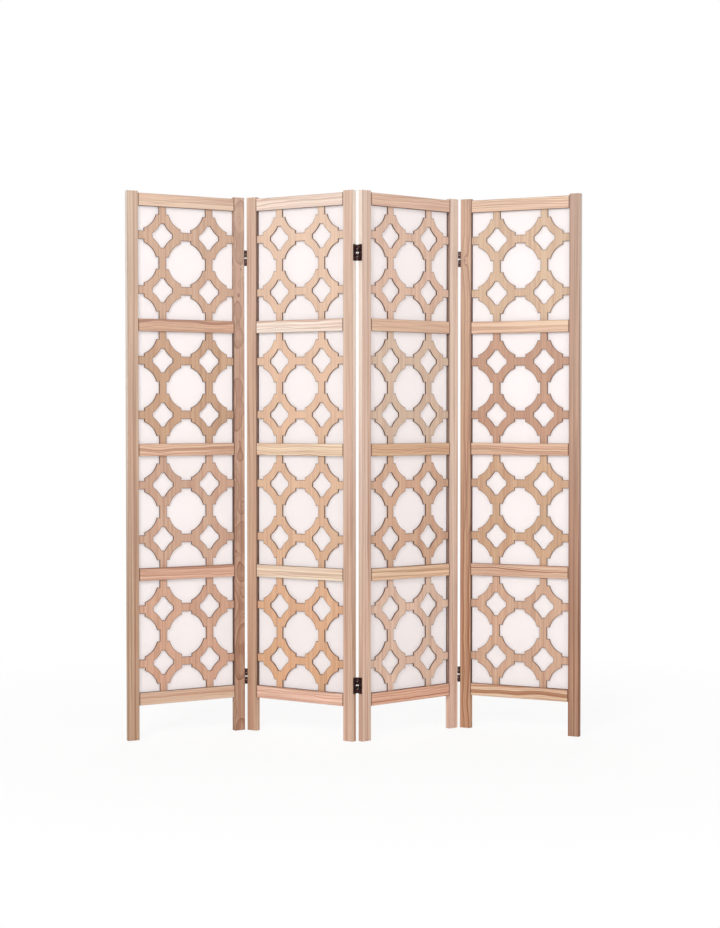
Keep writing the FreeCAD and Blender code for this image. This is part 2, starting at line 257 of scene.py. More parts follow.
# %% [markdown]
# A board is a slice of a trunk, so its rings are worked out from the distance to the trunk's centre
# line, which lies beside the board or under its face. Where that line runs close under the face and
# wanders, the rings show as arches and loops. Where it lies far off to one side, they show as straight
# lines. Each ring darkens slowly and then ends sharply, as late wood does. A knot pushes the rings aside.

# %% Growth rings
KNOT_REACH = 9 * MM
KNOT_STRETCH = 2.2
KNOT_ADDS_RINGS = 1.6
KNOT_HEART = (0.16, 0.03, 0.95)
WEATHER_RATE = 0.45
WEATHER_SHIFTS_RINGS = 3.2
RING_DARKENS_OVER = 0.3
RING_PEAK, RING_END = 0.92, 0.965
GOOD_YEAR_POWER, GOOD_YEAR_STRENGTH = 2.6, 0.9


def growth_rings(tree, place, start, rings, knot):
    """How dark the late wood is: a sharp-ended ramp of the distance from a wandering line over the ring
    spacing, times a strength drawn for each year. Near a knot the count of rings rises by a bell curve."""
    along, across, depth = place[:3]
    wander = stretched_noise(tree, place, (rings["wander_rate"], 6.0, 0.0), start, 2.0)
    bend = add(tree, "ShaderNodeSeparateColor", {0: wander["Color"]})
    side = sum_of(tree, "MULTIPLY_ADD", sum_of(tree, "SUBTRACT", bend.outputs[0], 0.5), rings["wander"], across)
    under = sum_of(tree, "MULTIPLY_ADD", sum_of(tree, "SUBTRACT", bend.outputs[1], 0.5), rings["dip"], depth)
    side = sum_of(tree, "SUBTRACT", side, rings["beside"])
    under = sum_of(tree, "SUBTRACT", under, rings["beneath"])
    squares = sum_of(tree, "ADD", sum_of(tree, "MULTIPLY", side, side), sum_of(tree, "MULTIPLY", under, under))
    evenly = sum_of(tree, "DIVIDE", sum_of(tree, "SQRT", squares), rings["spacing"])
    if knot is not None:
        aside = sum_of(tree, "DIVIDE", sum_of(tree, "SUBTRACT", across, knot[0]), KNOT_REACH)
        on = sum_of(tree, "DIVIDE", sum_of(tree, "SUBTRACT", along, knot[1]), KNOT_STRETCH * KNOT_REACH)
        away = sum_of(tree, "ADD", sum_of(tree, "MULTIPLY", aside, aside), sum_of(tree, "MULTIPLY", on, on))
        bell = sum_of(tree, "EXPONENT", sum_of(tree, "MULTIPLY", away, -1.0))
        evenly = sum_of(tree, "MULTIPLY_ADD", bell, KNOT_ADDS_RINGS, evenly)
    years = sum_of(tree, "MULTIPLY_ADD", evenly, WEATHER_RATE, start)
    weather = add(tree, "ShaderNodeTexNoise", {"W": years, "Scale": 1.0, "Detail": 1.0}, noise_dimensions="1D")
    count = sum_of(tree, "MULTIPLY_ADD", weather.outputs[0], WEATHER_SHIFTS_RINGS, evenly)
    ramp = add(tree, "ShaderNodeValToRGB", {0: sum_of(tree, "FRACT", count)})
    rise = rings["rise"]
    stops = ((0.0, 0.0), (rise - RING_DARKENS_OVER, 0.07), (rise, 0.45), (RING_PEAK, 1.0), (RING_END, 0.0))
    for stop_place, value in stops[1:-1]:
        ramp.color_ramp.elements.new(stop_place)
    for stop, (stop_place, value) in zip(ramp.color_ramp.elements, stops):
        stop.position = stop_place
        stop.color = (value, value, value, 1)
    good_year = add(tree, "ShaderNodeTexWhiteNoise", {"W": sum_of(tree, "ADD", sum_of(tree, "FLOOR", count), start)},
                    noise_dimensions="1D").outputs["Value"]
    strength = sum_of(tree, "MULTIPLY_ADD", sum_of(tree, "POWER", good_year, GOOD_YEAR_POWER),
                      GOOD_YEAR_STRENGTH, rings["steady"])
    late = sum_of(tree, "MULTIPLY", sum_of(tree, "MULTIPLY", ramp.outputs[0], strength), rings["contrast"])
    if knot is not None:
        late = sum_of(tree, "MAXIMUM", late, share_between(tree, away, *KNOT_HEART))
    return late


print("rings ready")

# %% [markdown]
# The frame's edges tell it from a plain block. Its arrises and the seams where rails meet stiles are drawn
# darker brown as painted shade in their grooves, and the walls of the recesses in front of the lattices are
# drawn dark brown as painted shade in the recesses. All of it follows from the distance to the board's own
# edges. A line is written as the distance from the edge at which it starts, the distance at which it is full,
# and the share that it then has. The one named ON_THE_FACE rises away from the edge, which keeps the painted
# arris shade off the board's sides.

# %% Painted shade on arrises, seams and recess walls, painted light on outer sides
# Painted shade: arrises and seams are mixed towards brown, where shade falls in their grooves.
SHADED_ARRIS = (1.7 * MM, 0.7 * MM, 0.42)
ON_THE_FACE = (0.05 * MM, 0.3 * MM, 1.0)
SHADED_SEAM = (3.8 * MM, 1.4 * MM, 0.92)
# Painted light: a stile's outer side is drawn paler, more so higher up.
LIT_OUTER_EDGE = (0.2 * MM, 0.05 * MM, 0.75)
LIT_OUTER_EDGE_RISES = (0.3, 1.3)
# Painted shade: the recess walls are drawn dark brown, darker deeper into the recess.
SHADED_WALL = (0.85 * MM, 0.15 * MM, 0.97)
WALL_SHADE_DEEPENS = (-9.6 * MM, -3.5 * MM)
WALL_SHADE_ENDS_OVER = 1.5 * MM


def near_edge(tree, distance, edge, line):
    """The line's share at this distance from the board's middle: it rises evenly from nothing where the
    line starts to its greatest value where the line is full."""
    starts, full, most = line
    return share_between(tree, distance, edge - starts, edge - full, most)


def edge_light_and_shade(tree, place, colour, edges):
    """The colour, with brown painted shade within a line's width of the board's long edges and of its seams,
    and dark brown painted shade beyond those edges that are walls of a recess. A stile's outer edge gets painted
    light that grows upwards."""
    along, across, depth, up = place
    half, end = edges["half"], edges["end"]
    aside = sum_of(tree, "ABSOLUTE", across)
    # Painted shade along the long edges and, on rails, at the seams with the stiles.
    line = near_edge(tree, aside, half, SHADED_ARRIS)
    line = sum_of(tree, "MULTIPLY", line, near_edge(tree, aside, half, ON_THE_FACE))
    if end is not None:
        line = sum_of(tree, "MAXIMUM", line, near_edge(tree, sum_of(tree, "ABSOLUTE", along), end, SHADED_SEAM))
    colour = blend_colours(tree, line, colour, EDGE_SHADE_BROWN)
    # Painted light on a stile's outer side, growing upwards.
    if end is None:
        outwards = sum_of(tree, "MULTIPLY", across, -float(edges["walls"][0]))
        outer = near_edge(tree, outwards, half, LIT_OUTER_EDGE)
        outer = sum_of(tree, "MULTIPLY", outer, share_between(tree, up, *LIT_OUTER_EDGE_RISES))
        colour = blend_colours(tree, outer, colour, PAINTED_LIGHT_WOOD)
    # Painted shade on the walls of the recesses, fading out near the rails' ends.
    for sign in edges["walls"]:
        outwards = sum_of(tree, "MULTIPLY", across, float(sign))
        wall_shade = near_edge(tree, outwards, half, SHADED_WALL)
        wall_shade = sum_of(tree, "MULTIPLY", wall_shade, share_between(tree, depth, *WALL_SHADE_DEEPENS))
        if end is None:
            low, high = edges["between"]
            wall_shade = sum_of(tree, "MULTIPLY", wall_shade, share_between(tree, along, low, low + WALL_SHADE_ENDS_OVER))
            wall_shade = sum_of(tree, "MULTIPLY", wall_shade, share_between(tree, along, high, high - WALL_SHADE_ENDS_OVER))
        colour = blend_colours(tree, wall_shade, colour, STAINED)
    return colour


print("edges ready")

# %% [markdown]
# The layers go over each other: pale early wood with rosy ribbons, the rings, brown streaks along the
# grain, fine fibres, and broad cloudy shading. Towards the top the wood is painted paler, as painted light
# and sheen from above. The same noises drive the roughness and a faint bump.

# %% Pine
SEED_STEP = 7.31
RIBBON_RATES, RIBBON_LIMITS = (1.3, 150.0, 60.0), (0.38, 0.62)
STREAK_RATES, STREAK_LIMITS = (2.4, 210.0, 120.0), (0.53, 0.68)
FIBRE_RATES, FIBRE_SHARE = (14.0, 900.0, 900.0), 0.34
CLOUD_RATES, CLOUD_DEPTH, CLOUD_DARKEST = (4.0, 12.0, 0.0), 0.28, 0.86
ROUGHEST_FIBRE, SMOOTH_WOOD = 0.16, 0.46
PINE_GLOSS = 0.35
RING_RELIEF = 0.5
PINE_BUMP, PINE_BUMP_DEPTH = 0.12, 0.4 * MM


def pine(name, centre, angle, lengthways, seed, rings, tint, lit_towards_top, edges=None, knot=None):
    """Layers of colour, each mixed over the last by its own share, then multiplied by the board's tint, then
    mixed paler towards the top as painted light. Without edges it is the lattice's sheet, whose scorch attribute
    mixes in the burnt brown, drawn darker than a burn alone as painted shade inside the cuts."""
    material, tree = new_material(name)
    place = board_place(tree, centre, angle, lengthways)
    start = seed * SEED_STEP
    late = growth_rings(tree, place, start, rings, knot)
    ribbon = stretched_noise(tree, place, RIBBON_RATES, start, 3.0)[0]
    streak = stretched_noise(tree, place, STREAK_RATES, start * 1.7, 2.0)[0]
    fibre = stretched_noise(tree, place, FIBRE_RATES, start, 3.0)[0]
    cloud = stretched_noise(tree, place, CLOUD_RATES, start, 1.0)[0]

    colour = blend_colours(tree, share_between(tree, ribbon, *RIBBON_LIMITS, rings["bands"]), EARLY_WOOD, ROSY_WOOD)
    colour = blend_colours(tree, late, colour, LATE_WOOD)
    streaks = share_between(tree, streak, *STREAK_LIMITS, rings["streaks"])
    colour = blend_colours(tree, streaks, colour, BROWN_STREAK)
    colour = blend_colours(tree, sum_of(tree, "MULTIPLY", fibre, FIBRE_SHARE), colour, FIBRE_SHADE)
    shade = sum_of(tree, "MULTIPLY_ADD", cloud, CLOUD_DEPTH, CLOUD_DARKEST)
    shade_colour = add(tree, "ShaderNodeCombineColor", {0: shade, 1: shade, 2: shade}).outputs[0]
    colour = blend_colours(tree, 1.0, colour, shade_colour, "MULTIPLY")
    colour = blend_colours(tree, 1.0, colour, (*tint, 1.0), "MULTIPLY")
    # Painted light: mixed towards pale wood higher up, as light and sheen from above.
    low, high, most = lit_towards_top
    colour = blend_colours(tree, share_between(tree, place[3], low, high, most), colour, PAINTED_LIGHT_WOOD)
    if edges is None:
        # Burnt brown from the scorch attribute, partly real burn and partly painted shade inside the cuts.
        burn = add(tree, "ShaderNodeAttribute", attribute_name="scorch").outputs["Fac"]
        colour = blend_colours(tree, burn, colour, SCORCH_AND_SHADE)
    else:
        colour = edge_light_and_shade(tree, place, colour, edges)
    roughness = sum_of(tree, "MULTIPLY_ADD", fibre, ROUGHEST_FIBRE, SMOOTH_WOOD)
    height = sum_of(tree, "MULTIPLY_ADD", late, RING_RELIEF, fibre)
    bump = add(tree, "ShaderNodeBump", {"Height": height, "Strength": PINE_BUMP, "Distance": PINE_BUMP_DEPTH})
    surface = add(tree, "ShaderNodeBsdfPrincipled", {"Base Color": colour, "Roughness": roughness,
                                                     "Normal": bump.outputs[0], "Specular IOR Level": PINE_GLOSS})
    add(tree, "ShaderNodeOutputMaterial", {0: surface.outputs[0]})
    return material


print("pine ready")

# %% [markdown]
# Boards differ. Most here are cut well away from the trunk's centre and have straight lines; a few are
# plain-sawn, with arches. Each piece draws its own rings with a seed of its own. The pieces that stand
# out in the photograph are named, and so are those that are a little warmer or paler than their panel.

# %% The kinds of board
STRAIGHT = {"beside": 0.16, "beneath": 0.05, "wander": 0.010, "dip": 0.02, "wander_rate": 1.6,
            "spacing": 0.0095, "contrast": 1.3, "steady": 0.14, "rise": 0.78, "bands": 1.0, "streaks": 0.78}
CALM = dict(STRAIGHT, spacing=0.0060, contrast=0.6)
STRIPED = dict(STRAIGHT, spacing=0.0080, contrast=2.4, steady=0.42, rise=0.70)
BOLD = dict(STRAIGHT, beside=0.07, beneath=0.02, wander=0.036, wander_rate=4.5, spacing=0.0075, contrast=2.2,
            steady=0.32, rise=0.84)
ARCHED = {"beside": 0.004, "beneath": 0.020, "wander": 0.060, "dip": 0.100, "wander_rate": 6.5,
          "spacing": 0.0062, "contrast": 2.6, "steady": 0.50, "rise": 0.84, "bands": 1.0, "streaks": 0.78}
VENEER = dict(STRAIGHT, beside=0.12, beneath=0.02, wander=0.012, wander_rate=2.0, spacing=0.0085, contrast=0.55,
              bands=0.6, streaks=0.42)

PANEL_TINTS = {1: (0.89, 0.84, 0.78), 2: (1.08, 1.15, 1.15), 3: (0.96, 0.90, 0.83), 4: (0.95, 0.95, 0.88)}
STILE_SHADE = {1: (0.86, 0.88, 0.89), 2: (0.78, 0.78, 0.76), 3: (0.90, 0.98, 1.15), 4: (0.57, 0.47, 0.47)}
SHEET_TINTS = {1: (0.76, 0.68, 0.62), 2: (0.86, 0.78, 0.60), 3: (0.86, 0.83, 0.81), 4: (0.72, 0.62, 0.56)}
STANDS_OUT = {
    "panel_1_left_stile": (CALM, (0.69, 0.65, 0.63), None),
    "panel_1_right_stile": (ARCHED, (0.66, 0.58, 0.51), None),
    "panel_2_left_stile": (STRAIGHT, (0.77, 0.69, 0.67), None),
    "panel_2_upper_rail": (BOLD, (1.11, 1.36, 1.58), None),
    "panel_2_top_rail": (BOLD, (1.11, 1.37, 1.52), None),
    "panel_3_right_stile": (CALM, (0.99, 1.10, 1.22), None),
    "panel_4_left_stile": (BOLD, (0.69, 0.59, 0.49), (-0.003, 0.655)),
    "panel_4_right_stile": (STRIPED, (0.56, 0.48, 0.44), None),
}
# Painted light: how much paler the frames and each panel's sheets are drawn towards the top.
FRAME_LIT_TOWARDS_TOP = (0.3, 1.65, 0.22)
SHEET_LIT_BETWEEN = (0.2, 1.65)
SHEET_LIT_TOWARDS_TOP = {1: 0.12, 2: 0.40, 3: 0.20, 4: 0.14}
WARM_PIECES = ("panel_1_upper_rail", "panel_1_lattice_3", "panel_3_centre_rail", "panel_3_lattice_2",
               "panel_4_lattice_3")
PALE_PIECES = ("panel_1_bottom_rail", "panel_2_lower_rail", "panel_3_lower_rail", "panel_4_bottom_rail",
               "panel_3_lattice_1", "panel_4_lattice_1", "panel_4_lattice_4")
WARM_SHADE, PALE_SHADE = (0.91, 0.82, 0.74), (1.07, 1.15, 1.17)
RAIL_WALLS = {"bottom_rail": (1,), "top_rail": (-1,)}
# Where a stile's painted wall shade stops short of the top rail.
STAINED_UP_TO = {"panel_1_right_stile": "upper_rail"}


def shaded(name, tint):
    """The tint times the shade of the warmer or the paler boards, where the piece is one of them."""
    shade = WARM_SHADE if name in WARM_PIECES else PALE_SHADE if name in PALE_PIECES else (1.0, 1.0, 1.0)
    return tuple(value * share for value, share in zip(tint, shade))


def varied(rings, draw):
    """The same kind of board from another trunk: the place of its centre line, its spacing and its contrast
    are each multiplied by a share that is drawn near one."""
    side = 1 if draw.random() < 0.5 else -1
    beside = rings["beside"] * side * draw.uniform(0.8, 1.25)
    spacing = rings["spacing"] * draw.uniform(0.8, 1.3)
    contrast = rings["contrast"] * draw.uniform(0.75, 1.2)
    return dict(rings, beside=beside, spacing=spacing, contrast=contrast)


def board_edges(panel, node, lengthways):
    """Half the board's face, its seams, and on which of its sides the walls of the recesses are."""
    low, high = own_box(panel, node)
    if lengthways == "across":
        sides = RAIL_WALLS.get(node.split("_", 2)[2], (-1, 1))
        bay = own_box(panel, f"panel_{panel}_left_stile")[1][0]
        return {"half": (high[2] - low[2]) / 2, "end": -bay, "walls": sides}
    middle = (low[2] + high[2]) / 2
    between = (own_box(panel, f"panel_{panel}_bottom_rail")[1][2] - middle,
               own_box(panel, f"panel_{panel}_{STAINED_UP_TO.get(node, 'top_rail')}")[0][2] - middle)
    return {"half": (high[0] - low[0]) / 2, "end": None, "walls": (1,) if low[0] < 0 else (-1,), "between": between}


wood_nodes = []
for panel in PANELS:
    pieces = [(f"panel_{panel}_{side}_stile", "up") for side in ("left", "right")]
    pieces += [(f"panel_{panel}_{rail}", "across") for rail in RAILS]
    for node, lengthways in pieces:
        number = len(wood_nodes) + 1
        draw = np.random.default_rng(number)
        tint = PANEL_TINTS[panel]
        if lengthways == "up":
            tint = tuple(value * share for value, share in zip(tint, STILE_SHADE[panel]))
        rings, tint, knot = STANDS_OUT.get(node, (STRAIGHT if lengthways == "up" else BOLD, tint, None))
        tint = tuple(value * draw.uniform(0.96, 1.04) for value in shaded(node, tint))
        finish = pine(node, box_middle(node), PLACES[panel][0], lengthways, number, varied(rings, draw), tint,
                      FRAME_LIT_TOWARDS_TOP, board_edges(panel, node, lengthways), knot)
        piece = frame["nodes"][node]
        piece.data.materials.clear()
        piece.data.materials.append(finish)
        wood_nodes.append(node)
print(len(wood_nodes), "frame pieces finished")

# %% [markdown]
# The lattice is a thin sheet, cut through by a fret. Seen in one quarter, an opening is a circle with a
# square step at its side and at its end. Mirroring that quarter gives the opening in the middle, and the
# same quarter moved by the fret's pitch gives the parts of the openings that run off the sheet.

# %% The fret's outline
PITCH_ACROSS, PITCH_UP = 160 * MM, 169 * MM
UPRIGHT_BAR, LEVEL_BAR = 24.5 * MM, 26 * MM
OPENING_RADIUS = 63 * MM
STEP_ACROSS, STEP_UP = 58.7 * MM, 62.2 * MM
SIDE_STEP_HEIGHT, END_STEP_WIDTH = 36.6 * MM, 34.8 * MM
EYE_WIDTH, EYE_HEIGHT = 68.4 * MM, 74.2 * MM
EYE_SIDE_FLAT, EYE_END_FLAT = 12.6 * MM, 12 * MM
EYE_RADIUS = 89.4 * MM
ARC_STEPS = 14


def arc(start, end, radius, steps):
    """Points on the circle through both ends that bulges to the right of the way: the circle's centre is
    on the left of the chord's middle, and the angle runs evenly from one end to the other."""
    start, end = np.array(start), np.array(end)
    chord = end - start
    half = np.hypot(*chord) / 2
    leftwards = np.array([-chord[1], chord[0]]) / (2 * half)
    centre = (start + end) / 2 + leftwards * math.sqrt(radius**2 - half**2)
    first = math.atan2(*(start - centre)[::-1])
    sweep = 2 * math.asin(half / radius)
    angles = first + np.linspace(0, sweep, steps + 1)
    return centre + radius * np.stack([np.cos(angles), np.sin(angles)], axis=1)


def opening_quarter():
    """From the side step to the end step, anticlockwise about the opening's centre."""
    half_width = (PITCH_ACROSS - UPRIGHT_BAR) / 2
    half_height = (PITCH_UP - LEVEL_BAR) / 2
    side = SIDE_STEP_HEIGHT / 2
    end = END_STEP_WIDTH / 2
    curve = arc((STEP_ACROSS, side), (end, STEP_UP), OPENING_RADIUS, ARC_STEPS)
    return np.vstack([[(half_width, side)], curve, [(end, half_height)]])


def eye_quarter():
    """One hollow side of an eye, anticlockwise: the arc bulges towards the eye's centre."""
    low = (EYE_WIDTH / 2, EYE_SIDE_FLAT / 2)
    high = (EYE_END_FLAT / 2, EYE_HEIGHT / 2)
    return arc(high, low, EYE_RADIUS, ARC_STEPS // 2)[::-1]


def mirrored(quarter):
    """A whole loop from its first quarter: turned over from quarter to quarter, each time in reverse."""
    second = (quarter * (-1, 1))[::-1]
    return np.vstack([quarter, second, -quarter, (quarter * (1, -1))[::-1]])


def sheet_quarter(half_across, half_up):
    """The sheet's edge in one quarter: part of the side opening, a bar's end, part of the corner opening,
    the other bar's end, and part of the upper opening."""
    quarter = opening_quarter()
    beside = np.array([PITCH_ACROSS, 0]) + quarter * (-1, 1)
    corner = (np.array([PITCH_ACROSS, PITCH_UP]) - quarter)[::-1]
    above = np.array([0, PITCH_UP]) + quarter * (1, -1)
    level_end = [(half_across, beside[-1, 1]), (half_across, corner[0, 1])]
    upright_end = [(corner[-1, 0], half_up), (above[0, 0], half_up)]
    return np.vstack([beside, level_end, corner, upright_end, above])


print(len(opening_quarter()), "points in a quarter of an opening")

# %% [markdown]
# The sheet was cut with heat, which burnt the cut walls and left a dark rim on the face. The rim is made
# as geometry: each outline is carried through a few rings, first eased over the edge and then a little way
# onto the face. A value on the rings, the scorch, tells the material how brown to be. The burnt brown is
# drawn darker than a burn alone, as painted shade inside the cuts.

# %% From outlines to a sheet
EDGE_EASE = 0.35 * MM
RIM_WIDTH = 3.0 * MM
FIRST_SHEET_SEED = 100


def moved_in(loop, distance):
    """The loop moved to its left: each corner goes along the sum of its two sides' left normals, over
    one plus the cosine of their angle, so that both sides move by the distance."""
    ahead = np.roll(loop, -1, axis=0) - loop
    normals = np.stack([-ahead[:, 1], ahead[:, 0]], axis=1)
    normals /= np.linalg.norm(normals, axis=1, keepdims=True)
    before = np.roll(normals, 1, axis=0)
    cosine = (normals * before).sum(axis=1, keepdims=True)
    return loop + distance * (normals + before) / (1 + cosine)


def fret_sheet(half_across, half_up, front, back):
    """Points, faces and scorch of one sheet about its own middle. Rings are (distance in, depth, scorch)."""
    eye = mirrored(eye_quarter())
    crossings = [(x * PITCH_ACROSS / 2, z * PITCH_UP / 2) for x in (-1, 1) for z in (-1, 1)]
    loops = [mirrored(sheet_quarter(half_across, half_up)), mirrored(opening_quarter())[::-1]]
    loops += [(eye + crossing)[::-1] for crossing in crossings]
    rings = [(RIM_WIDTH, front, 0.0), (RIM_WIDTH / 2, front, 0.24), (EDGE_EASE, front, 0.85),
             (0.0, front + EDGE_EASE, 1.0), (0.0, back - EDGE_EASE, 1.0), (EDGE_EASE, back, 0.85),
             (RIM_WIDTH, back, 0.0)]
    total = sum(len(loop) for loop in loops)
    inner = [moved_in(loop, RIM_WIDTH) for loop in loops]
    flat = np.vstack(inner)
    points = []
    scorch = []
    for inwards, depth, burn in rings:
        outline = np.vstack([moved_in(loop, inwards) for loop in loops])
        points.append(np.stack([outline[:, 0], np.full(total, depth), outline[:, 1]], axis=1))
        scorch.append(np.full(total, burn))
    number = np.arange(total)
    ends = np.cumsum([len(loop) for loop in loops])
    after = number + 1
    after[ends - 1] = np.concatenate([[0], ends[:-1]])
    strips = [np.stack([number + k * total, number + (k + 1) * total, after + (k + 1) * total, after + k * total],
                       axis=1) for k in range(len(rings) - 1)]
    cap = np.array(tessellate_polygon([[Vector((x, z, 0)) for x, z in loop] for loop in inner]))
    a, b, c = (flat[cap[:, k]] for k in range(3))
    signed = (b[:, 0] - a[:, 0]) * (c[:, 1] - a[:, 1]) - (b[:, 1] - a[:, 1]) * (c[:, 0] - a[:, 0])
    cap[signed < 0] = cap[signed < 0][:, ::-1]
    faces = np.vstack(strips).tolist() + cap.tolist() + (cap[:, ::-1] + (len(rings) - 1) * total).tolist()
    return np.vstack(points), faces, np.concatenate(scorch)


def new_piece(name, points, faces, body, smooth=False):
    """A mesh object at the origin whose place is in its points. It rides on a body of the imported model."""
    mesh = bpy.data.meshes.new(name)
    mesh.from_pydata(points.tolist(), [], faces)
    mesh.update()
    mesh.polygons.foreach_set("use_smooth", np.full(len(mesh.polygons), smooth))
    piece = bpy.data.objects.new(name, mesh)
    bpy.context.scene.collection.objects.link(piece)
    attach(piece, body)
    return piece


for panel in PANELS:
    low, high = own_box(panel, f"panel_{panel}_lattices")
    heights = [own_box(panel, f"panel_{panel}_{rail}") for rail in RAILS]
    for bay in range(len(RAILS) - 1):
        middle_up = (heights[bay][1][2] + heights[bay + 1][0][2]) / 2
        half_up = high[2] - (heights[-1][0][2] + heights[-2][1][2]) / 2
        points, faces, scorch = fret_sheet(high[0], half_up, low[1], high[1])
        points = to_room(panel, points + (0, 0, middle_up))
        name = f"panel_{panel}_lattice_{bay + 1}"
        piece = new_piece(name, points, faces, f"panel_{panel}")
        burnt = piece.data.attributes.new("scorch", "FLOAT", "POINT")
        burnt.data.foreach_set("value", scorch.astype(np.float32))
        number = FIRST_SHEET_SEED + 10 * panel + bay
        draw = np.random.default_rng(number)
        tint = tuple(value * draw.uniform(0.95, 1.05) for value in shaded(name, SHEET_TINTS[panel]))
        centre = to_room(panel, np.array([0, (low[1] + high[1]) / 2, middle_up]))
        finish = pine(name, centre, PLACES[panel][0], "up", number, varied(VENEER, draw), tint,
                      (*SHEET_LIT_BETWEEN, SHEET_LIT_TOWARDS_TOP[panel]))
        piece.data.materials.append(finish)
        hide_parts(f"panel_{panel}_lattices")
print("lattice sheet:", len(faces), "faces")

# %% [markdown]
# The cloth is one length per panel, pulled flat and stapled. Pulled cloth isn't a perfect plane: it dips
# a little towards the lattice between the rails. The surface is a grid whose depth is the product of a wave
# up the bay and a wave across the panel, and a Solidify modifier gives it its thickness.

# %% Cloth
CLOTH_DIP = 0.5 * MM
CLOTH_THICKNESS = 0.5 * MM
STAYS_WITHIN_PACKED = 0.98
CLOTH_GRID = (56, 240)
LIGHT_THROUGH = 0.58


def cloth_finish():
    """White cloth: a near-white colour with a fine fibrous bump and a soft sheen, mixed with a share of
    light that comes through from the back."""
    material, tree = new_material("white_cloth")
    spot = add(tree, "ShaderNodeTexCoord").outputs["Object"]
    fuzz = add(tree, "ShaderNodeTexNoise", {"Vector": spot, "Scale": 900.0, "Detail": 4.0}).outputs[0]
    cloud = add(tree, "ShaderNodeTexNoise", {"Vector": spot, "Scale": 9.0, "Detail": 2.0}).outputs[0]
    share = sum_of(tree, "MULTIPLY_ADD", cloud, 0.5, sum_of(tree, "MULTIPLY", fuzz, 0.5))
    colour = blend_colours(tree, share, linear(249, 245, 245), linear(244, 240, 239))
    bump = add(tree, "ShaderNodeBump", {"Height": fuzz, "Strength": 0.2, "Distance": 0.0002})
    surface = add(tree, "ShaderNodeBsdfPrincipled", {"Base Color": colour, "Roughness": 0.9, "Sheen Weight": 0.1,
                                                     "Specular IOR Level": 0.2, "Normal": bump.outputs[0]})
    through = add(tree, "ShaderNodeBsdfTranslucent", {0: colour})
    both = add(tree, "ShaderNodeMixShader", {0: LIGHT_THROUGH, 1: surface.outputs[0], 2: through.outputs[0]})
    add(tree, "ShaderNodeOutputMaterial", {0: both.outputs[0]})
    return material


white_cloth = cloth_finish()
cloth_boxes = {}
for panel in PANELS:
    low, high = own_box(panel, f"panel_{panel}_cloth")
    rails = [own_box(panel, f"panel_{panel}_{rail}") for rail in RAILS]
    across, up = np.meshgrid(np.linspace(low[0], high[0], CLOTH_GRID[0]), np.linspace(low[2], high[2], CLOTH_GRID[1]))
    share_up = np.zeros_like(up)
    for below, above in zip(rails, rails[1:]):
        share = np.clip((up - below[1][2]) / (above[0][2] - below[1][2]), 0, 1)
        share_up = np.maximum(share_up, np.sin(math.pi * share) ** 2)
    share_across = np.cos(math.pi * across / (high[0] - low[0]))
    depth = low[1] + CLOTH_THICKNESS / 2 - CLOTH_DIP * share_up * share_across
    points = to_room(panel, np.stack([across, depth, up], axis=-1).reshape(-1, 3))
    rows, columns = CLOTH_GRID[1], CLOTH_GRID[0]
    corner = (np.arange(rows - 1)[:, None] * columns + np.arange(columns - 1)).ravel()
    faces = np.stack([corner, corner + 1, corner + columns + 1, corner + columns], axis=1).tolist()
    piece = new_piece(f"panel_{panel}_backing_cloth", points, faces, f"panel_{panel}", smooth=True)
    piece.data.materials.append(white_cloth)
    solid = piece.modifiers.new("thickness", "SOLIDIFY")
    solid.thickness = CLOTH_THICKNESS * STAYS_WITHIN_PACKED
    solid.offset = 0
    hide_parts(f"panel_{panel}_cloth")
    cloth_boxes[panel] = (low, high, rails)

# %% [markdown]
# Antique bronze is steel with a dark brown plating, rubbed redder where hands and folds wear it. The
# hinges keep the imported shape. Their pins are left bright, and show in the gap between the knuckles.

# %% Bronze and steel on the hinges


def bronze(name, base, worn, roughness):
    """Plated steel: dark brown with redder, brighter worn places from a mottled noise."""
    material, tree = new_material(name)
    spot = add(tree, "ShaderNodeTexCoord").outputs["Object"]
    mottle = add(tree, "ShaderNodeTexNoise", {"Vector": spot, "Scale": 260.0, "Detail": 4.0}).outputs[0]
    wear = add(tree, "ShaderNodeMapRange", {0: mottle, 1: 0.5, 2: 0.72}).outputs[0]
    colour = blend_colours(tree, wear, base, worn)
    bump = add(tree, "ShaderNodeBump", {"Height": mottle, "Strength": 0.25, "Distance": 0.0002})
    surface = add(tree, "ShaderNodeBsdfPrincipled", {"Base Color": colour, "Metallic": 0.85, "Roughness": roughness,
                                                     "Normal": bump.outputs[0]})
    add(tree, "ShaderNodeOutputMaterial", {0: surface.outputs[0]})
    return material


def steel():
    """Bright steel: pale metal whose roughness varies with a fine scratchy noise."""
    material, tree = new_material("bright_steel")
    spot = add(tree, "ShaderNodeTexCoord").outputs["Object"]
    scratch = add(tree, "ShaderNodeTexNoise", {"Vector": spot, "Scale": 700.0}).outputs[0]
    surface = add(tree, "ShaderNodeBsdfPrincipled", {"Base Color": linear(176, 172, 172), "Metallic": 1.0,
                                                     "Roughness": sum_of(tree, "MULTIPLY_ADD", scratch, 0.2, 0.28)})
    add(tree, "ShaderNodeOutputMaterial", {0: surface.outputs[0]})
    return material


antique_bronze = bronze("antique_bronze", linear(62, 40, 40), linear(128, 94, 88), 0.42)
bright_steel = steel()
hinge_nodes = [node for node in frame["nodes"] if "hinge" in node]
for node in hinge_nodes:
    frame["nodes"][node].data.materials.clear()
    frame["nodes"][node].data.materials.append(bright_steel if "pins" in node else antique_bronze)
print(len(hinge_nodes), "hinge nodes finished")

# %% [markdown]
# Three countersunk screws hold each leaf. A head is a surface of revolution: a profile of radius
# and height goes round an axis. The cross is pressed into it: a point goes down where it lies near either
# of two crossing lines and isn't too close to the rim.

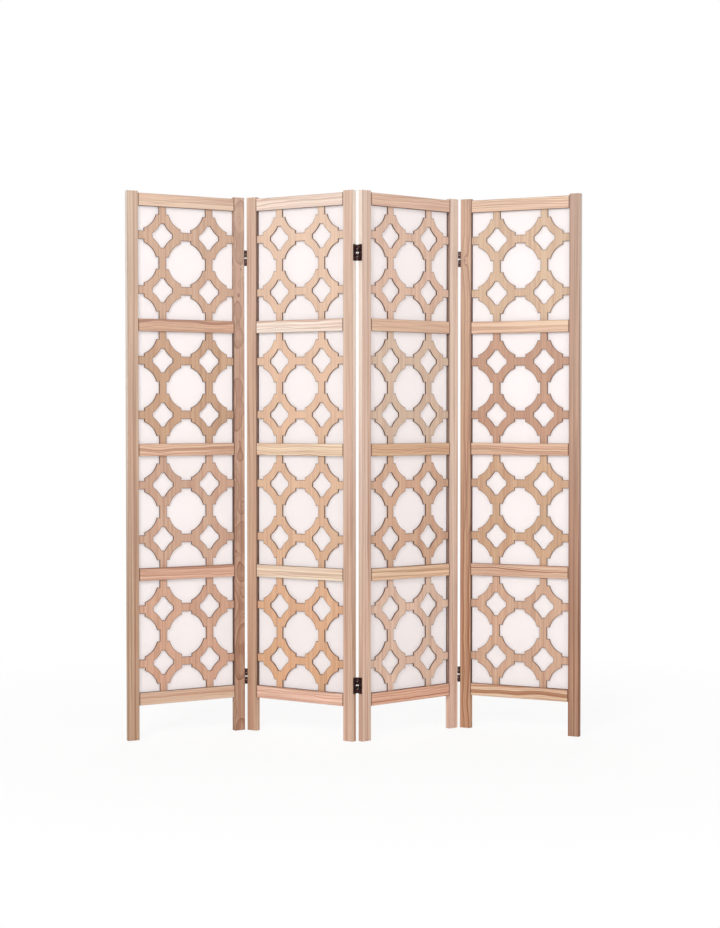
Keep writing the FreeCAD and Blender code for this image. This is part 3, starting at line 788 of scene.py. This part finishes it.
# %% Screws
SCREW_RADIUS = 2.6 * MM
SCREW_STANDS = 0.22 * MM
SCREW_DOME = 0.6
CROSS_DEPTH = 0.55
CROSS_HALF_WIDTH = 0.45 * MM
CROSS_REACH = 1.7 * MM
SCREWS_APART = 17 * MM
SCREWS_ASIDE = 0.8
SCREW_GRID = (11, 32)


def screw_head(centre, axis):
    """A low dome on an axis along x: height falls from the middle by the square of the radius, less the
    pressed cross. The last ring closes it under the leaf's face."""
    rings, spokes = SCREW_GRID
    radius, turn = np.meshgrid(np.linspace(0, 1, rings)[1:], np.linspace(0, 2 * math.pi, spokes, endpoint=False),
                               indexing="ij")
    y, z = (radius * SCREW_RADIUS * wave(turn) for wave in (np.cos, np.sin))
    height = SCREW_STANDS * (1 - SCREW_DOME * radius**2)
    near = np.minimum(np.abs(y), np.abs(z)) < CROSS_HALF_WIDTH
    height = height - SCREW_STANDS * CROSS_DEPTH * (near & (radius * SCREW_RADIUS < CROSS_REACH))
    dome = np.stack([height * axis, y, z], axis=-1).reshape(-1, 3)
    top = np.array([[SCREW_STANDS * (1 - CROSS_DEPTH) * axis, 0, 0]])
    foot = dome[-spokes:] * (0, 1, 1) - (SCREW_STANDS * axis, 0, 0)
    points = np.vstack([top, dome, foot, [[-SCREW_STANDS * axis, 0, 0]]]) + centre
    spoke = np.arange(spokes)
    following = (spoke + 1) % spokes
    faces = [[0, 1 + a, 1 + b] for a, b in zip(spoke, following)]
    for ring in range(rings - 1):
        inner, outer = 1 + ring * spokes, 1 + (ring + 1) * spokes
        faces += [[inner + a, outer + a, outer + b, inner + b] for a, b in zip(spoke, following)]
    last = len(points) - 1
    under = last - spokes
    faces += [[last, under + b, under + a] for a, b in zip(spoke, following)]
    return points, faces if axis > 0 else [face[::-1] for face in faces]


screw_bronze = bronze("screw_bronze", linear(92, 66, 54), linear(190, 160, 140), 0.35)
screws_made = 0
for node in (name for name in hinge_nodes if "leaves" in name):
    panel, side = int(node.split("_")[1]), node.split("_")[2]
    low, high = own_box(panel, node)
    frame_low, frame_high = own_box(panel, f"panel_{panel}_{side}_stile")
    leaf_middle = (max(low[1], frame_low[1]) + min(high[1], frame_high[1])) / 2
    outward = -1 if side == "left" else 1
    own = (mesh_points(node) - PLACES[panel][1]) @ turning(PLACES[panel][0])
    on_stile = own[(own[:, 1] > frame_low[1]) & (own[:, 1] < frame_high[1])]
    face = on_stile[:, 0].min() if outward < 0 else on_stile[:, 0].max()
    heights = own[:, 2]
    for part in (heights[heights < heights.mean()], heights[heights >= heights.mean()]):
        hinge_middle = (part.min() + part.max()) / 2
        for step in (-1, 0, 1):
            shift = SCREW_RADIUS * (1 if step else -1) * SCREWS_ASIDE
            centre = np.array([face, leaf_middle + shift, hinge_middle + step * SCREWS_APART])
            points, faces = screw_head(centre, outward)
            screws_made += 1
            name = f"panel_{panel}_{side}_screw_{screws_made}"
            piece = new_piece(name, to_room(panel, points), faces, f"panel_{panel}")
            piece.data.materials.append(screw_bronze)
print(screws_made, "screws")

# %% [markdown]
# Each pin ends in a small bronze button at the top and at the bottom, which closes the notch between the
# barrel's end and the leaf's end. A button is a surface of revolution on the pin's own axis, so folding the
# screen doesn't bring it any closer to the leaves.

# %% Buttons on the pins
BUTTON_RADIUS = 3.2 * MM
BUTTON_HEIGHT = 3.3 * MM
BUTTON_HOLDS = 0.5 * MM
BUTTON_SPOKES = 24
BUTTON_PROFILE = np.array([(0.88, 0.0), (1.0, 0.1), (1.0, 0.62), (0.88, 0.85), (0.5, 0.97)])
PINS_RIDE = {"hinge_pins_1_2": "panel_1", "hinge_pins_2_3": "panel_3", "hinge_pins_3_4": "panel_3"}


def pin_button(end, way):
    """Radius and height shares of the profile go round an upright axis through the pin's end. A point on
    the axis closes it at either end. The way is 1 upwards and -1 downwards."""
    angles = np.linspace(0, 2 * math.pi, BUTTON_SPOKES, endpoint=False)
    radius, height = BUTTON_PROFILE[:, :1] * BUTTON_RADIUS, BUTTON_PROFILE[:, 1:] * BUTTON_HEIGHT * way
    rings = np.stack([radius * np.cos(angles), radius * np.sin(angles), height + 0 * angles], axis=-1)
    points = np.vstack([[[0, 0, 0]], rings.reshape(-1, 3), [[0, 0, BUTTON_HEIGHT * way]]])
    spoke = np.arange(BUTTON_SPOKES)
    following = (spoke + 1) % BUTTON_SPOKES
    faces = [[0, 1 + b, 1 + a] for a, b in zip(spoke, following)]
    for ring in range(len(BUTTON_PROFILE) - 1):
        low, high = 1 + ring * BUTTON_SPOKES, 1 + (ring + 1) * BUTTON_SPOKES
        faces += [[low + a, low + b, high + b, high + a] for a, b in zip(spoke, following)]
    last = len(points) - 1
    faces += [[last, last - BUTTON_SPOKES + a, last - BUTTON_SPOKES + b] for a, b in zip(spoke, following)]
    return points + end - (0, 0, BUTTON_HOLDS * way), faces if way > 0 else [face[::-1] for face in faces]


def joined(parts):
    """Several meshes as one: the faces of each count on from the number of points before it."""
    counts = np.cumsum([0] + [len(points) for points, faces in parts[:-1]])
    shifted = []
    for (points, faces), count in zip(parts, counts):
        shifted += [[int(corner + count) for corner in face] for face in faces]
    return np.vstack([points for points, faces in parts]), shifted


for node, body in PINS_RIDE.items():
    middle = box_middle(node)
    heights = mesh_points(node)[:, 2]
    both_pins = (heights[heights <= middle[2]], heights[heights > middle[2]])
    ends = [(pin.min(), -1) for pin in both_pins] + [(pin.max(), 1) for pin in both_pins]
    made = [pin_button(np.array([middle[0], middle[1], end]), way) for end, way in ends]
    points, faces = joined(made)
    piece = new_piece(node.replace("pins", "pin_buttons"), points, faces, body)
    piece.data.materials.append(antique_bronze)
print(len(made), "buttons at each joint")

# %% [markdown]
# Staples fix the cloth: along every rail and down both rebates. A staple is a wire bent square, so
# its crown is a short bar that lies on the cloth with its two ends turned in. All the staples of a panel
# are one piece, because each is tiny and there are many.

# %% Staples
STAPLE_CROWN = 10 * MM
STAPLE_WIRE = 0.7 * MM
RAIL_STAPLES = 6
REBATE_STAPLES_PER_BAY = 4
STAPLE_INSET = 2.6 * MM
BAR_CORNERS = np.array([(x, y, z) for x in (-1, 1) for y in (-1, 1) for z in (-1, 1)]) / 2
BAR_FACES = np.array([(0, 1, 3, 2), (4, 6, 7, 5), (0, 4, 5, 1), (2, 3, 7, 6), (0, 2, 6, 4), (1, 5, 7, 3)])


def staple(centre, level):
    """The crown and the two turned ends as three bars, each a unit bar times its size, moved to its place."""
    crown = np.array([STAPLE_CROWN, STAPLE_WIRE, STAPLE_WIRE])
    leg = np.array([STAPLE_WIRE, STAPLE_WIRE, STAPLE_WIRE])
    bars = [(crown, (0, 0, 0))]
    bars += [(leg, (sign * (STAPLE_CROWN - STAPLE_WIRE) / 2, -STAPLE_WIRE, 0)) for sign in (-1, 1)]
    points = np.vstack([BAR_CORNERS * bar + place for bar, place in bars])
    if not level:
        points = points[:, [2, 1, 0]] * (-1, 1, 1)
    faces = np.vstack([BAR_FACES + 8 * k for k in range(len(bars))])
    return points + centre, faces


for panel in PANELS:
    low, high, rails = cloth_boxes[panel]
    on_cloth = high[1] + STAPLE_WIRE / 2
    spots = []
    for rail_low, rail_high in rails:
        middle_up = (rail_low[2] + rail_high[2]) / 2
        middle_up = min(max(middle_up, low[2] + STAPLE_CROWN), high[2] - STAPLE_CROWN)
        for x in np.linspace(low[0] + STAPLE_CROWN * 2, high[0] - STAPLE_CROWN * 2, RAIL_STAPLES):
            spots.append((x, middle_up, True))
    for below, above in zip(rails, rails[1:]):
        for share in (np.arange(REBATE_STAPLES_PER_BAY) + 0.5) / REBATE_STAPLES_PER_BAY:
            up = below[1][2] + share * (above[0][2] - below[1][2])
            spots += [(low[0] + STAPLE_INSET, up, False), (high[0] - STAPLE_INSET, up, False)]
    made = [staple(np.array([x, on_cloth, up]), level) for x, up, level in spots]
    points, faces = joined(made)
    piece = new_piece(f"panel_{panel}_staples", to_room(panel, points), faces, f"panel_{panel}")
    piece.data.materials.append(bright_steel)
print(len(spots), "staples to a panel")

# %% [markdown]
# The light is that of a white studio: even from all round, with a large soft lamp high in front on the
# left, a weaker one on the right, and one behind that makes the cloth glow. The floor is white too, and
# fades into the background, so only a soft shadow shows where the screen stands.

# %% Light and floor
WORLD_STRENGTH = 0.46
FLOOR_RADIUS = 4.0
FLOOR_SHADOW_SHARE = 0.15
FLOOR_FADES = (0.9, 2.2)
WHITE = (1.0, 1.0, 1.0, 1.0)

world = bpy.data.worlds.new("studio")
bpy.context.scene.world = world
world.use_nodes = True
world.node_tree.nodes.clear()
ray = add(world.node_tree, "ShaderNodeLightPath")
shown = sum_of(world.node_tree, "MAXIMUM", ray.outputs["Is Camera Ray"], ray.outputs["Is Glossy Ray"])
shown = sum_of(world.node_tree, "MAXIMUM", shown, ray.outputs["Is Transmission Ray"])
strength = sum_of(world.node_tree, "MULTIPLY_ADD", shown, 1 - WORLD_STRENGTH, WORLD_STRENGTH)
sky = add(world.node_tree, "ShaderNodeBackground", {"Color": WHITE, "Strength": strength})
add(world.node_tree, "ShaderNodeOutputWorld", {0: sky.outputs[0]})


def softbox(name, place, size, power):
    """A square lamp that faces the middle of the screen."""
    lamp = bpy.data.lights.new(name, "AREA")
    lamp.size = size
    lamp.energy = power
    holder = bpy.data.objects.new(name, lamp)
    holder.location = place
    middle = Vector((cad_low + cad_high) / 2)
    holder.rotation_euler = (middle - Vector(place)).to_track_quat("-Z", "Y").to_euler()
    bpy.context.scene.collection.objects.link(holder)


softbox("key", (-1.5, -5.0, 3.2), size=1.5, power=150)
softbox("fill", (2.2, -4.2, 2.0), size=2.0, power=38)
softbox("behind", (0.0, 4.2, 2.2), size=3.4, power=70)

spokes = np.linspace(0, 2 * math.pi, 64, endpoint=False)
rim = np.stack([np.cos(spokes), np.sin(spokes), np.zeros_like(spokes)], axis=1) * FLOOR_RADIUS
floor_mesh = bpy.data.meshes.new("floor")
floor_mesh.from_pydata(rim.tolist(), [], [list(range(len(rim)))])
floor = bpy.data.objects.new("floor", floor_mesh)
bpy.context.scene.collection.objects.link(floor)
white_floor, tree = new_material("white_floor")
spot = add(tree, "ShaderNodeTexCoord").outputs["Object"]
away = add(tree, "ShaderNodeVectorMath", {0: spot}, operation="LENGTH").outputs["Value"]
fades = {0: away, 1: FLOOR_FADES[0], 2: FLOOR_FADES[1], 3: FLOOR_SHADOW_SHARE, 4: 0.0}
fade = add(tree, "ShaderNodeMapRange", fades).outputs[0]
seen = add(tree, "ShaderNodeLightPath").outputs["Is Camera Ray"]
glow_share = sum_of(tree, "MULTIPLY", seen, sum_of(tree, "SUBTRACT", 1.0, fade))
paint = add(tree, "ShaderNodeBsdfDiffuse", {0: WHITE})
glow = add(tree, "ShaderNodeEmission", {0: WHITE, 1: 1.0})
both = add(tree, "ShaderNodeMixShader", {0: glow_share, 1: paint.outputs[0], 2: glow.outputs[0]})
add(tree, "ShaderNodeOutputMaterial", {0: both.outputs[0]})
floor_mesh.materials.append(white_floor)
bpy.context.scene.view_settings.view_transform = "Standard"
print("studio ready")
